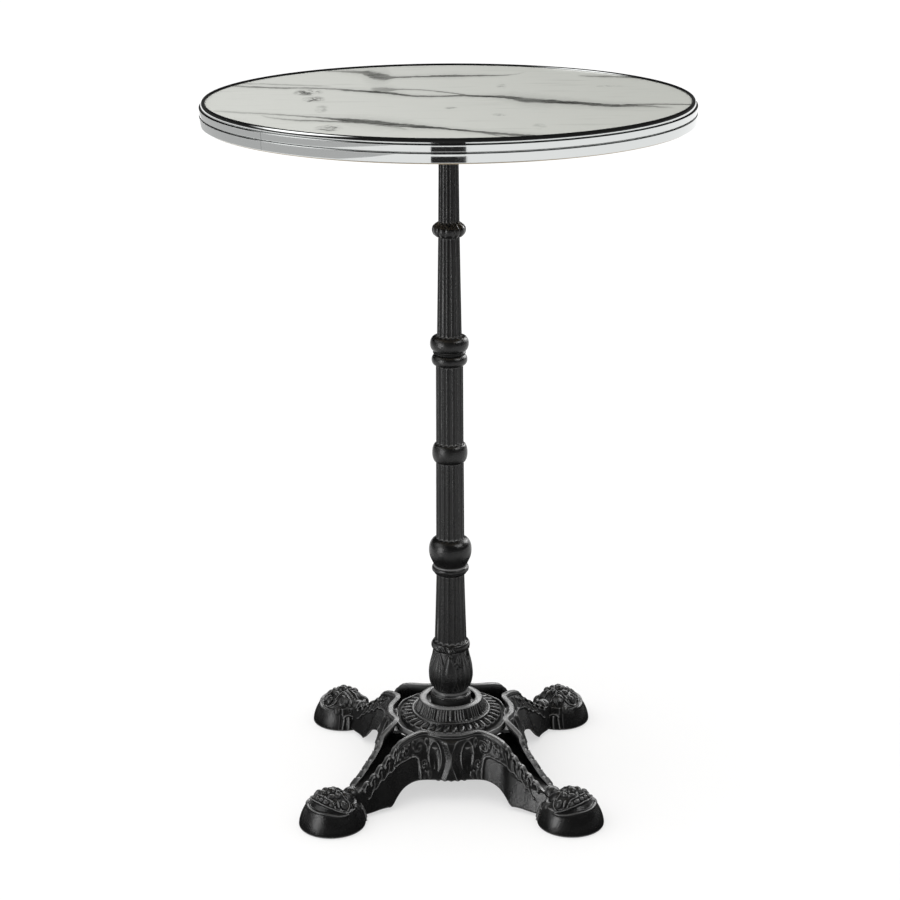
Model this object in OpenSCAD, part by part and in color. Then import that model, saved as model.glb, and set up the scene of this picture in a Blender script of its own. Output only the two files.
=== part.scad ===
// Bar-height bistro table: a round banded top on a three-piece fluted column and a
// four-footed cast base, all drawn together by one tie rod.
// Millimetres, +Z up, origin on the floor under the column's axis.

/* [Top] */
// Diameter of the top over its metal band
top_d = 700; // [690:2:720]
// Height of the working surface's rim above the floor
table_h = 1050; // [1045:1:1060]
// Thickness of the whole top
top_t = 32.5; // [31:0.5:36]
// Width of the band's lip on the laminate
lip_w = 7; // [5:0.5:9]
// Thickness of the band's sheet metal
band_t = 0.7; // [0.5:0.1:0.8]

/* [Column] */
// Number of flutes round the shafts
flutes = 12; // [8:1:16]
// Radius of the cutter that makes a flute
flute_r = 2.6; // [2:0.1:3]
// Radius of the bore that the tie rod runs through
column_bore_r = 8.5; // [7:0.5:9]
// Radius of the tie rod (M12)
rod_r = 6; // [5:0.5:6]

/* [Base] */
// Distance of each foot's centre from the axis, along X and along Y
foot_xy = 177; // [172:1:182]
// Radius of a foot at the floor
foot_r = 49.8; // [46:0.2:52]
// Height of a paw
paw_h = 57.5; // [54:0.5:62]
// Thickness of the curved plates
wall_t = 6.5; // [5:0.5:8]
// Height of the cup's rim round the column's foot
cup_z = 123.5; // [122:0.5:126]

/* [Glides] */
// How far a glide can be screwed out
glide_travel = 8; // [4:1:10]
// Radius of a glide's pad
pad_r = 15; // [12:0.5:18]
// Radius of a glide's stud (M8)
stud_r = 4; // [3:0.5:4]

/* [Hidden] */
$fn = 96;

iron = [0.09, 0.09, 0.1];
chrome = [0.82, 0.83, 0.84];
marble = [0.82, 0.82, 0.79];
steel = [0.62, 0.63, 0.65];

// Top: heights of the band's parts, measured down from the rim
band_r = top_d / 2;
lip_r = band_r - 2.5;
lip_in_r = lip_r - lip_w;
lip_h = 6.8;
upper_bead_h = 10.8;
bead_steps = 8;
core_show = 1;
top_under_z = table_h - top_t;
band_bottom_z = top_under_z + core_show;
lip_bottom_z = table_h - lip_h;
groove_z = lip_bottom_z - upper_bead_h;
core_r = lip_r - band_t - 0.6;
laminate_t = 1;
lip_rise = 2.7;
laminate_z = table_h - lip_rise;
lip_press = 0.1;
seam_az = -44;
seam_gap = 0.4;
pin_az = [seam_az - 2.5, seam_az + 2.5, 45, 135, 225];
pin_r = 0.9;

// Spider under the top
arm_l = 150;
arm_w = 28;
arm_t = 7;
boss_r = 26;
boss_h = 32;
nut_pocket_r = 15;
nut_pocket_d = 14;
spider_web_t = 5.5;
column_end_z = top_under_z - nut_pocket_d - spider_web_t;
column_end_r = 14;
screw_pos = [75, 130];

// Column: the two joints between its three pieces, and the seat in the base
flute_depth = 1.2;
upper_joint_z = 676.6;
lower_joint_z = 345.4;
seat_z = cup_z - 8.5;
spigot_r = 12;
spigot_l = 12;
fit_gap = 0.3;

// Standard washer and nut for M12
washer_t = 2.5;
nut_h = 10.8;
nut_flats = 18;

// Base: the hub's web over the bottom nut, and the feet's underside
hub_web_t = 14;
foot_z = 1;
cavity_r = 36;
cavity_z = 22;
stud_boss_r = 11;
stud_boss_z = 9;
run_gap = 0.05;

// Glides: the pad stops under its boss, and the stud's head turns inside the pad
pad_h = stud_boss_z - 0.4;
stud_head_r = 6.5;
stud_head_z = 3;
stud_head_h = 3;
stud_l = glide_travel + 28;
stud_bore_z = stud_head_z + stud_l + 5;

// A round bead between two heights, standing out from the radius at its ends
function bead(r0, r1, z0, z1) = [
  for (i = [0 : bead_steps]) let (u = i / bead_steps) [r0 + (r1 - r0) * sin(180 * u), z0 + (z1 - z0) * u]
];

// A point at (x, y, z) moved by wall_t towards the base's middle, square to the direction d
function inward(p, d) =
  let (n = [-d.y, d.x] / norm([d.x, d.y]))
  [p.x + wall_t * n.x, p.y + wall_t * n.y, p.z];

// ---------- the top ----------

// The sheet's edge is pressed down a little where the band's lip holds it
module top_laminate() {
  color(marble) translate([0, 0, laminate_z - laminate_t]) {
    cylinder(r = core_r, h = laminate_t - lip_press);
    cylinder(r = lip_in_r - 0.2, h = laminate_t);
  }
}

module top_core() {
  core_bottom = top_under_z + laminate_t;
  color([0.78, 0.66, 0.47]) difference() {
    translate([0, 0, core_bottom]) cylinder(r = core_r, h = laminate_z - laminate_t - core_bottom);
    pin_holes();
    for (a = [0 : 90 : 270], r = screw_pos)
      rotate([0, 0, a]) translate([r, 0, core_bottom - 1]) cylinder(r = 2, h = 15, $fn = 24);
  }
}

module backing_laminate() {
  color([0.72, 0.6, 0.42]) difference() {
    translate([0, 0, top_under_z]) cylinder(r = core_r, h = laminate_t);
    for (a = [0 : 90 : 270], r = screw_pos)
      rotate([0, 0, a]) translate([r, 0, top_under_z - 1]) cylinder(r = 2, h = 3, $fn = 24);
  }
}

module pin_holes() {
  for (a = pin_az)
    rotate([0, 0, a - 90]) translate([band_r - 14, 0, groove_z])
      rotate([0, 90, 0]) cylinder(r = pin_r, h = 20, $fn = 24);
}

module edge_band() {
  outer = concat(
    [[lip_in_r, laminate_z + 0.8], [lip_in_r + 0.6, table_h - 0.7], [lip_in_r + 2, table_h]],
    [[lip_r - 2.4, table_h], [lip_r - 0.8, table_h - 0.7], [lip_r, table_h - 2.4]],
    bead(lip_r, band_r, lip_bottom_z, groove_z + 0.5),
    bead(lip_r, band_r, groove_z - 0.5, band_bottom_z));
  inner = [for (i = [len(outer) - 1 : -1 : 6]) [outer[i].x - band_t, outer[i].y]];
  color(chrome) difference() {
    rotate_extrude($fn = 180)
      polygon(concat(outer, inner,
        [[lip_r - band_t, laminate_z], [lip_in_r, laminate_z]]));
    rotate([0, 0, seam_az - 90]) translate([0, -seam_gap / 2, band_bottom_z - 1])
      cube([band_r + 2, seam_gap, top_t + 2]);
    pin_holes();
  }
}

module band_joint_sleeve() {
  color(steel) rotate([0, 0, seam_az - 90]) intersection() {
    translate([0, 0, band_bottom_z + 3]) difference() {
      cylinder(r = core_r + 0.5, h = 8);
      translate([0, 0, -1]) cylinder(r = core_r, h = 10);
    }
    translate([core_r - 10, -12, band_bottom_z]) cube([20, 24, 20]);
  }
}

module band_pins() {
  color(steel) for (a = pin_az)
    rotate([0, 0, a - 90]) translate([band_r - 14, 0, groove_z])
      rotate([0, 90, 0]) cylinder(r = pin_r, h = 14 - 2.5 + 0.4, $fn = 24);
}

// ---------- what holds the top ----------

module top_spider() {
  color(iron) difference() {
    union() {
      for (a = [0 : 90 : 270])
        rotate([0, 0, a]) translate([0, -arm_w / 2, top_under_z - arm_t]) cube([arm_l, arm_w, arm_t]);
      translate([0, 0, top_under_z - boss_h]) cylinder(r = boss_r, h = boss_h);
    }
    translate([0, 0, top_under_z - nut_pocket_d]) cylinder(r = nut_pocket_r, h = nut_pocket_d + 1);
    translate([0, 0, top_under_z - boss_h - 1]) cylinder(r = rod_r + 0.6, h = boss_h);
    translate([0, 0, top_under_z - boss_h - 1])
      cylinder(r = column_end_r + fit_gap, h = column_end_z - top_under_z + boss_h + 1);
    for (a = [0 : 90 : 270], r = screw_pos)
      rotate([0, 0, a]) translate([r, 0, top_under_z - arm_t - 1]) cylinder(r = 2.6, h = arm_t + 2, $fn = 24);
  }
}

module top_screws() {
  color(steel) for (a = [0 : 90 : 270], r = screw_pos)
    rotate([0, 0, a]) translate([r, 0, top_under_z - arm_t]) {
      cylinder(r = 2, h = arm_t + 14, $fn = 24);
      translate([0, 0, -2.6]) cylinder(r1 = 3, r2 = 4.6, h = 2.6, $fn = 32);
    }
}

module tie_rod() {
  low = seat_z - hub_web_t - 18;
  color(steel) translate([0, 0, low]) cylinder(r = rod_r, h = top_under_z - 1 - low, $fn = 48);
}

module washer(z, r) {
  color(steel) translate([0, 0, z]) difference() {
    cylinder(r = r, h = washer_t, $fn = 48);
    translate([0, 0, -1]) cylinder(r = rod_r + 0.5, h = washer_t + 2, $fn = 48);
  }
}

module nut(z) {
  color(steel) translate([0, 0, z]) difference() {
    cylinder(r = nut_flats / 2 / cos(30), h = nut_h, $fn = 6);
    translate([0, 0, -1]) cylinder(r = rod_r + run_gap, h = nut_h + 2, $fn = 48);
  }
}

// ---------- the column ----------

// Straight grooves down a tapered shaft between two heights
module flute_cuts(r_top, z_top, r_low, z_low) {
  lean = atan2(r_low - r_top, z_top - z_low);
  run = norm([r_low - r_top, z_top - z_low]);
  standoff = flute_r - flute_depth;
  for (i = [0 : flutes - 1])
    rotate([0, 0, (i + 0.5) * 360 / flutes]) translate([r_low + standoff, 0, z_low])
      rotate([0, -lean, 0]) cylinder(r = flute_r, h = run, $fn = 24);
}

module rod_bore(z0, z1) {
  translate([0, 0, z0]) cylinder(r = column_bore_r, h = z1 - z0, $fn = 48);
}

// A spigot under a piece goes into the socket at the top of the next one
module spigot(z) {
  translate([0, 0, z - spigot_l]) cylinder(r = spigot_r, h = spigot_l + 1, $fn = 48);
}

module socket(z) {
  translate([0, 0, z - spigot_l - fit_gap]) cylinder(r = spigot_r + fit_gap, h = spigot_l + 1, $fn = 48);
}

module column_upper() {
  color(iron) difference() {
    union() {
      rotate_extrude() polygon(concat(
        [[0, upper_joint_z]],
        [[20.5, upper_joint_z]],
        bead(20.5, 28.5, upper_joint_z + 1, 701),
        [[18, 704], [15.5, 846]],
        bead(16.5, 24.1, 847, 870),
        [[15.4, 872], [14.4, 951], [column_end_r, 975], [column_end_r, column_end_z], [0, column_end_z]]));
      spigot(upper_joint_z);
    }
    rod_bore(upper_joint_z - spigot_l - 1, column_end_z + 1);
    flute_cuts(15.6, 840, 18, 712);
    flute_cuts(14.2, 968, 15.4, 878);
  }
}

module column_middle() {
  color(iron) difference() {
    union() {
      rotate_extrude() polygon(concat(
        [[0, lower_joint_z], [25.8, lower_joint_z]],
        bead(25.8, 32.3, lower_joint_z + 0.6, 384),
        [[21.2, 388], [20.6, 494]],
        [[21.5, 503]],
        bead(21.5, 26.35, 504, 536),
        [[20.4, 539], [20.1, 649]],
        bead(19.7, 26.4, 655, upper_joint_z - 0.6),
        [[20.5, upper_joint_z], [0, upper_joint_z]]));
      spigot(lower_joint_z);
    }
    rod_bore(lower_joint_z - spigot_l - 1, upper_joint_z + 1);
    socket(upper_joint_z);
    flute_cuts(20.1, 642, 20.4, 545);
    flute_cuts(20.6, 488, 21.2, 396);
  }
}

module column_lower() {
  color(iron) difference() {
    rotate_extrude() polygon(concat(
      [[0, seat_z], [31, seat_z], [31, 131], [29, 135], [26, 140]],
      [[30.9, 150], [32.95, 164], [32.4, 174], [30.3, 184], [27, 196]],
      [[25.5, 204]],
      bead(25.5, 29.1, 205, 219),
      [[24.2, 224], [22.5, 283], [21.25, 323]],
      bead(21.7, 27.9, 330, lower_joint_z - 0.6),
      [[25.8, lower_joint_z], [0, lower_joint_z]]));
    rod_bore(seat_z - 1, lower_joint_z + 1);
    socket(lower_joint_z);
    flute_cuts(21.4, 316, 24, 230);
  }
}

// ---------- the base ----------

// Half of one curved plate: points along its top edge and its bottom edge, from the middle
// of the front side out to the foot
plate_top = [
  [0, -96.5, 104], [14, -95.5, 104], [26, -91, 104.5], [36, -86.5, 105], [46, -87, 105], [58, -93.5, 103],
  [68, -100, 100], [78, -107, 95], [86, -110.5, 85], [97, -118.5, 73], [109, -128.5, 62], [120, -138, 51],
  [136, -153, 40], [150, -165, 34]
];
plate_bottom = [
  [0, -116, 38], [14, -116, 38.5], [26, -116, 38.5], [38, -116, 38.5], [50, -116.5, 37.5], [61, -122, 31],
  [72, -131.5, 21], [81, -141, 13.5], [91, -146, 11], [101, -150, 9], [110, -154.5, 7], [119, -158.5, 6.5],
  [134, -167, 6.5], [150, -175, 6.5]
];

// The front plate: each station is a quad, and the list runs from the left foot to the right one
module curved_plate() {
  n = len(plate_top);
  top = [for (i = [-(n - 1) : n - 1]) let (p = plate_top[abs(i)]) [sign(i) * p.x, p.y, p.z]];
  low = [for (i = [-(n - 1) : n - 1]) let (p = plate_bottom[abs(i)]) [sign(i) * p.x, p.y, p.z]];
  m = len(top);
  points = [
    for (i = [0 : m - 1])
      let (d = top[min(i + 1, m - 1)] - top[max(i - 1, 0)], e = low[min(i + 1, m - 1)] - low[max(i - 1, 0)])
        each [top[i], inward(top[i], d), inward(low[i], e), low[i]]
  ];
  sides = [
    for (i = [0 : m - 2], k = [0 : 3])
      let (a = 4 * i + k, b = 4 * i + (k + 1) % 4)
        each [[a, b, a + 4], [b, b + 4, a + 4]]
  ];
  last = 4 * (m - 1);
  ends = [[3, 2, 1], [3, 1, 0], [last, last + 1, last + 2], [last, last + 2, last + 3]];
  polyhedron(points = points, faces = concat(sides, ends), convexity = 6);
}

// A paw: a domed hoof with four toes outwards and a knuckle over the ankle
module paw() {
  steps = 14;
  bulge = 1.7;
  dome = [
    for (i = [0 : steps])
      let (u = i / steps) [foot_r * pow(1 - pow(u, bulge), 1 / bulge), foot_z + u * (paw_h - foot_z)]
  ];
  rotate_extrude() polygon(concat([[0, foot_z]], dome));
  for (a = [-54, -18, 18, 54])
    rotate([0, 0, a]) translate([27, 0, 34]) sphere(r = 11, $fn = 40);
  translate([-38, 0, 33]) sphere(r = 13, $fn = 40);
}

// What a foot is hollowed out by, round the boss that the glide's stud screws into
module foot_cavity() {
  difference() {
    translate([0, 0, foot_z - 1]) cylinder(r = cavity_r, h = cavity_z - foot_z + 1);
    translate([0, 0, stud_boss_z]) cylinder(r = stud_boss_r, h = cavity_z);
  }
  translate([0, 0, foot_z - 1]) cylinder(r = stud_r + run_gap, h = stud_bore_z, $fn = 48);
}

// The flat web inside a leg, tilted down from the hub to the foot
module leg_web() {
  hub_s = 92;
  foot_s = 205;
  hub_z = 81;
  foot_end_z = 38;
  tilt = atan2(hub_z - foot_end_z, foot_s - hub_s);
  translate([hub_s, 0, hub_z]) rotate([0, tilt, 0]) translate([0, 0, -wall_t])
    linear_extrude(wall_t)
      polygon([[-8, -37], [38, -27], [120, -10], [120, 10], [38, 27], [-8, 37]]);
}

module hub() {
  web_z = seat_z - hub_web_t;
  well_r = 40;
  rotate_extrude() polygon([
    [0, seat_z], [37.7, seat_z], [37.7, cup_z], [48, cup_z], [56, 108], [60, 108.5], [61, 106],
    [78, 97], [82, 94], [84, 92], [84, 87], [77, 88], [56, 99], [well_r + 7, web_z - 2],
    [well_r + 7, 84], [101, 84], [101, 79], [well_r, 79], [well_r, web_z], [0, web_z]
  ]);
}

module base_casting() {
  color(iron) difference() {
    union() {
      hub();
      for (a = [0 : 90 : 270]) rotate([0, 0, a]) {
        curved_plate();
        rotate([0, 0, -45]) leg_web();
        rotate([0, 0, -45]) translate([foot_xy * sqrt(2), 0, 0]) paw();
      }
    }
    translate([0, 0, seat_z - hub_web_t - 1]) cylinder(r = rod_r + 0.6, h = hub_web_t + 2, $fn = 48);
    for (a = [0 : 90 : 270])
      rotate([0, 0, a - 45]) translate([foot_xy * sqrt(2), 0, 0]) foot_cavity();
  }
}

// ---------- the levelling glides ----------

module glide_pad(side_x, side_y) {
  color([0.05, 0.05, 0.05]) translate([side_x * foot_xy, side_y * foot_xy, 0]) difference() {
    cylinder(r1 = pad_r - 1, r2 = pad_r, h = pad_h);
    translate([0, 0, stud_head_z - fit_gap])
      cylinder(r = stud_head_r + fit_gap, h = stud_head_h + 2 * fit_gap, $fn = 48);
    translate([0, 0, stud_head_z]) cylinder(r = stud_r + fit_gap, h = pad_h, $fn = 48);
  }
}

module glide_stud(side_x, side_y) {
  color(steel) translate([side_x * foot_xy, side_y * foot_xy, stud_head_z]) {
    cylinder(r = stud_head_r, h = stud_head_h, $fn = 48);
    cylinder(r = stud_r, h = stud_l, $fn = 48);
  }
}

top_laminate();
top_core();
backing_laminate();
edge_band();
band_joint_sleeve();
band_pins();
top_spider();
top_screws();
tie_rod();
washer(top_under_z - nut_pocket_d, 12);  // top_washer
nut(top_under_z - nut_pocket_d + washer_t);  // top_nut
column_upper();
column_middle();
column_lower();
base_casting();
washer(seat_z - hub_web_t - washer_t, 15);  // bottom_washer
nut(seat_z - hub_web_t - washer_t - nut_h);  // bottom_nut
glide_pad(-1, -1);  // glide_pad_front_left
glide_pad(1, -1);  // glide_pad_front_right
glide_pad(-1, 1);  // glide_pad_back_left
glide_pad(1, 1);  // glide_pad_back_right
glide_stud(-1, -1);  // glide_stud_front_left
glide_stud(1, -1);  // glide_stud_front_right
glide_stud(-1, 1);  // glide_stud_back_left
glide_stud(1, 1);  // glide_stud_back_right
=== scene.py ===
# A banded bistro table on a fluted cast column and a paw-footed cast base, dressed around the CAD frame.
# Shapes are worked out in millimetres and become metres where a mesh is made.
import math

import bpy
import numpy as np
from mathutils import Matrix, Vector


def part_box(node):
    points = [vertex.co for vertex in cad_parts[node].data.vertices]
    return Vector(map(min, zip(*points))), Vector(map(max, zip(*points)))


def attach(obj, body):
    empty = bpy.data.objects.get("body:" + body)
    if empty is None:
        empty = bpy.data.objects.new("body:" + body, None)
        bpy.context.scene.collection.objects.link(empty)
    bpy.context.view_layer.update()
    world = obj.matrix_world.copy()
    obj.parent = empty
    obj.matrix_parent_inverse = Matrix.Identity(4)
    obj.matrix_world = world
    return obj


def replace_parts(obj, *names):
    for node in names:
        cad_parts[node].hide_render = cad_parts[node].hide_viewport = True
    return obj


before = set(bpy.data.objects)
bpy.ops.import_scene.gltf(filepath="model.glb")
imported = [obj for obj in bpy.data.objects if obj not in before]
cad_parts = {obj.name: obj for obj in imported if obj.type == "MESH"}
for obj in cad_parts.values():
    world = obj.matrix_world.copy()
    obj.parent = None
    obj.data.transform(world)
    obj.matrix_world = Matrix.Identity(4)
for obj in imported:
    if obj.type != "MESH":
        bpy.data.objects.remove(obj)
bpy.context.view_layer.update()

MM = 0.001
TABLE_BODY = "table"


def box_mm(node):
    """Lowest and highest corner of a CAD node in millimetres."""
    low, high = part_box(node)
    return np.array(low) / MM, np.array(high) / MM


def heights_mm(node):
    """Lowest and highest level of a CAD node in millimetres."""
    low, high = box_mm(node)
    return low[2], high[2]


# ---------- places taken from the frame ----------

# a hair inside the CAD band, so that no corner of the round strip stands outside its box
BAND_R = box_mm("edge_band")[1][0] - 0.08
BAND_BOTTOM_Z, TABLE_Z = heights_mm("edge_band")
LAMINATE_Z = heights_mm("top_laminate")[1]
COLUMN_TOP_Z = heights_mm("column_upper")[1]
UPPER_JOINT_Z = heights_mm("column_middle")[1]
SEAT_Z, LOWER_JOINT_Z = heights_mm("column_lower")
FOOT_Z, CUP_Z = heights_mm("base_casting")
pad_low, pad_high = box_mm("glide_pad_front_right")
# how far each foot stands from the middle, along X and along Y
FOOT_XY = (pad_low[0] + pad_high[0]) / 2
FOOT_R = box_mm("base_casting")[1][0] - FOOT_XY


# ---------- mesh helpers ----------

def make_object(name, points_mm, faces, material, sharp_deg=35, body=TABLE_BODY):
    """A mesh object that rides on a body, from points in millimetres and a list of faces, with one material.
    Iron pieces also join the iron collection, and pieces named base_ the base collection."""
    mesh = bpy.data.meshes.new(name)
    mesh.from_pydata((np.asarray(points_mm, float) * MM).tolist(), [], faces)
    mesh.validate()
    mesh.update()
    piece = bpy.data.objects.new(name, mesh)
    bpy.context.scene.collection.objects.link(piece)
    mesh.materials.append(material)
    mesh.polygons.foreach_set("use_smooth", [True] * len(mesh.polygons))
    mesh.set_sharp_from_angle(angle=math.radians(sharp_deg))
    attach(piece, body)
    if material is IRON:
        IRON_PIECES.objects.link(piece)
    if name.startswith("base_"):
        BASE_PIECES.objects.link(piece)
    return piece


def grid_faces(rows, columns, close_rows=False, close_columns=False):
    """Quads over a grid of points laid out row by row."""
    faces = []
    last_row = rows if close_rows else rows - 1
    last_column = columns if close_columns else columns - 1
    for i in range(last_row):
        for j in range(last_column):
            a = i * columns + j
            b = i * columns + (j + 1) % columns
            c = ((i + 1) % rows) * columns + (j + 1) % columns
            d = ((i + 1) % rows) * columns + j
            faces.append((a, b, c, d))
    return faces


def swept_faces(stations, corners):
    """Faces of a closed section repeated along a piece, with a cap on each end."""
    faces = grid_faces(stations, corners, close_columns=True)
    faces.append(tuple(range(corners)))
    faces.append(tuple(reversed([(stations - 1) * corners + j for j in range(corners)])))
    return faces


def round_grid(profile, segments):
    """Angle, radius and height of each point of an (r, z) outline turned about Z, one row for each angle."""
    angle = np.arange(segments) * 2 * math.pi / segments
    radii, heights = np.transpose(profile)
    a, r = np.meshgrid(angle, radii, indexing="ij")
    return a, r, np.tile(heights, (segments, 1))


def round_points(a, r, z):
    """The angle is counted from the front towards +X."""
    return np.stack([r * np.sin(a), -r * np.cos(a), z], -1).reshape(-1, 3)


def turned(profile, segments, shape=None):
    """Points and faces of a closed (r, z) outline turned about Z. shape(angle, r, z) may give each
    point another radius. Outline points on the axis become one vertex each."""
    profile = np.asarray(profile, float)
    rows = len(profile)
    a, r, z = round_grid(profile, segments)
    if shape is not None:
        r = shape(a, r, z)
    points = round_points(a, r, z)
    faces = grid_faces(segments, rows, close_rows=True, close_columns=True)
    on_axis = {j for j in range(rows) if profile[j, 0] == 0}
    if on_axis:
        kept = [i for i in range(len(points)) if i < rows or i % rows not in on_axis]
        number = {old: new for new, old in enumerate(kept)}
        points = points[kept]
        joined = []
        for face in faces:
            corners = [number[v % rows if v % rows in on_axis else v] for v in face]
            corners = tuple(dict.fromkeys(corners))
            if len(corners) > 2:
                joined.append(corners)
        faces = joined
    return points, faces


def lathe(name, profile, segments, material, shape=None, at=(0, 0), **options):
    """A turned piece standing at a place on the plan."""
    points, faces = turned(profile, segments, shape)
    return make_object(name, points + np.array([*at, 0]), faces, material, **options)


def merged(parts):
    """Several (points, faces) sets as one."""
    points = []
    faces = []
    for some_points, some_faces in parts:
        start = sum(len(p) for p in points)
        points.append(some_points)
        faces += [tuple(v + start for v in face) for face in some_faces]
    return np.vstack(points), faces


def turn_about_z(points, degrees):
    """Points turned about the table's middle line."""
    c, s = math.cos(math.radians(degrees)), math.sin(math.radians(degrees))
    x, y, z = points.T
    return np.stack([x * c - y * s, x * s + y * c, z], -1)


def arc(centre, radius, start_deg, end_deg, steps):
    """Points of an arc in an outline, the angle counted from +r towards +z."""
    t = np.radians(np.linspace(start_deg, end_deg, steps + 1))
    return [(centre[0] + radius * math.cos(x), centre[1] + radius * math.sin(x)) for x in t]


def swell(r0, r1, z0, z1, steps, power=1.0):
    """A round bead in an outline between two heights, from radius r0 out to r1."""
    u = np.linspace(0, 1, steps + 1)
    out = np.sin(math.pi * u) ** power
    lift = 0.5 - 0.5 * np.cos(math.pi * u)
    return [(r0 + (r1 - r0) * o, z0 + (z1 - z0) * v) for o, v in zip(out, lift)]


def spline(points, count):
    """A Catmull-Rom curve through points, sampled evenly by its own parameter."""
    p = np.asarray(points, float)
    p = np.vstack([2 * p[0] - p[1], p, 2 * p[-1] - p[-2]])
    t = np.linspace(0, len(points) - 1, count)
    i = np.minimum(t.astype(int), len(points) - 2)
    f = (t - i)[:, None]
    a, b, c, d = p[i], p[i + 1], p[i + 2], p[i + 3]
    square = 2 * a - 5 * b + 4 * c - d
    cube = 3 * b - a - 3 * c + d
    return 0.5 * (2 * b + (c - a) * f + square * f ** 2 + cube * f ** 3)


def smooth_step(low, high, x):
    """0 up to low and 1 from high on, with a smooth rise between them. It falls where low is the larger."""
    t = np.clip((x - low) / (high - low), 0, 1)
    return t * t * (3 - 2 * t)


def bump(x, centre, half_width):
    """A smooth hill of height 1 at centre, 0 beyond half_width."""
    t = np.clip(1 - ((x - centre) / half_width) ** 2, 0, 1)
    return t * t


def line_distance(x, y, points):
    """Distance of each (x, y) from a polyline."""
    best = np.full(np.shape(x), 1e9)
    for (x0, y0), (x1, y1) in zip(points[:-1], points[1:]):
        dx, dy = x1 - x0, y1 - y0
        t = np.clip(((x - x0) * dx + (y - y0) * dy) / (dx * dx + dy * dy), 0, 1)
        best = np.minimum(best, np.hypot(x - x0 - t * dx, y - y0 - t * dy))
    return best


# ---------- materials ----------

class Nodes:
    """Short calls for building a node tree."""

    def __init__(self, tree):
        self.tree = tree

    def add(self, kind, **settings):
        node = self.tree.nodes.new(kind)
        for key, value in settings.items():
            setattr(node, key, value)
        return node

    def put(self, socket, value):
        if isinstance(value, bpy.types.NodeSocket):
            self.tree.links.new(value, socket)
        else:
            socket.default_value = value

    def maths(self, operation, a, b=0.0, c=0.0):
        node = self.add("ShaderNodeMath", operation=operation)
        for socket, value in zip(node.inputs, (a, b, c)):
            self.put(socket, value)
        return node.outputs[0]

    def ramp(self, value, low, high, to_low=0.0, to_high=1.0):
        node = self.add("ShaderNodeMapRange", interpolation_type="SMOOTHSTEP")
        for socket, number in zip(node.inputs, (value, low, high, to_low, to_high)):
            self.put(socket, number)
        return node.outputs[0]


class Material(Nodes):
    """A new material's nodes. Patterns are placed by each piece's own coordinates, in metres."""

    def __init__(self, name):
        self.material = bpy.data.materials.new(name)
        self.material.use_nodes = True
        super().__init__(self.material.node_tree)
        self.shader = self.tree.nodes["Principled BSDF"]
        self.place = self.add("ShaderNodeTexCoord").outputs["Object"]

    def noise(self, scale, detail=4.0, roughness=0.5, where=None, distortion=0.0):
        node = self.add("ShaderNodeTexNoise")
        self.put(node.inputs["Vector"], self.place if where is None else where)
        node.inputs["Scale"].default_value = scale
        node.inputs["Detail"].default_value = detail
        node.inputs["Roughness"].default_value = roughness
        node.inputs["Distortion"].default_value = distortion
        return node.outputs["Fac"]

    def mix(self, share, first, second):
        node = self.add("ShaderNodeMix", data_type="RGBA")
        self.put(node.inputs["Factor"], share)
        self.put(node.inputs[6], first)
        self.put(node.inputs[7], second)
        return node.outputs[2]

    def bump(self, height, distance, strength):
        node = self.add("ShaderNodeBump")
        node.inputs["Strength"].default_value = strength
        node.inputs["Distance"].default_value = distance
        self.put(node.inputs["Height"], height)
        return node.outputs["Normal"]

    def finish(self, **sockets):
        for name, value in sockets.items():
            self.put(self.shader.inputs[name.replace("_", " ").title().replace("Ior", "IOR")], value)
        return self.material


def grey(value):
    return (value, value, value, 1)


def black_iron():
    n = Material("black_iron_paint")
    cast = n.noise(420, detail=3)
    fine = n.noise(1500, detail=2)
    patches = n.noise(35, detail=3)
    height = n.maths("ADD", n.maths("MULTIPLY", cast, 0.7), n.maths("MULTIPLY", fine, 0.3))
    sharpness = n.add("ShaderNodeNewGeometry").outputs["Pointiness"]
    # painted highlight: sharp ridges and edges are painted a lighter grey, standing in for the gloss they
    # catch
    edge = n.ramp(sharpness, 0.503, 0.56)
    crease = n.ramp(sharpness, 0.44, 0.5, 0.62, 0.0)
    colour = n.mix(n.maths("MULTIPLY", edge, 0.6), grey(0.004), grey(0.15))
    rough = n.maths("MAXIMUM", n.ramp(patches, 0.3, 0.7, 0.20, 0.34), crease)
    normal = n.bump(height, 0.0006, 0.8)
    return n.finish(base_color=colour, roughness=rough, normal=normal, ior=1.40)


def chrome():
    n = Material("chrome")
    wave = n.noise(9, detail=2)
    haze = n.ramp(n.noise(60, detail=4), 0.35, 0.75, 0.03, 0.09)
    return n.finish(base_color=(0.63, 0.645, 0.64, 1), metallic=1.0, roughness=haze,
                    normal=n.bump(wave, 0.0004, 0.2))


def zinc():
    n = Material("zinc_plate")
    spangle = n.noise(700, detail=3)
    colour = n.mix(n.ramp(n.noise(90), 0.35, 0.65), (0.5, 0.5, 0.48, 1), (0.66, 0.66, 0.64, 1))
    return n.finish(base_color=colour, metallic=1.0, roughness=n.ramp(spangle, 0.3, 0.7, 0.28, 0.42),
                    normal=n.bump(spangle, 0.0002, 0.4))


def nylon():
    n = Material("black_nylon")
    grain = n.noise(2200, detail=2)
    return n.finish(base_color=n.mix(n.noise(300), grey(0.02), grey(0.035)), roughness=0.55,
                    normal=n.bump(grain, 0.0002, 0.4))


def board():
    n = Material("core_board")
    fibres = n.noise(900, detail=5, roughness=0.7)
    colour = n.mix(fibres, (0.5, 0.4, 0.25, 1), (0.72, 0.62, 0.42, 1))
    return n.finish(base_color=colour, roughness=0.85, normal=n.bump(fibres, 0.0004, 0.6))


def backing():
    n = Material("backing_sheet")
    fibres = n.noise(260, detail=6, roughness=0.75)
    colour = n.mix(fibres, (0.33, 0.26, 0.17, 1), (0.5, 0.41, 0.28, 1))
    return n.finish(base_color=colour, roughness=0.6, normal=n.bump(fibres, 0.0003, 0.4))


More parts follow.
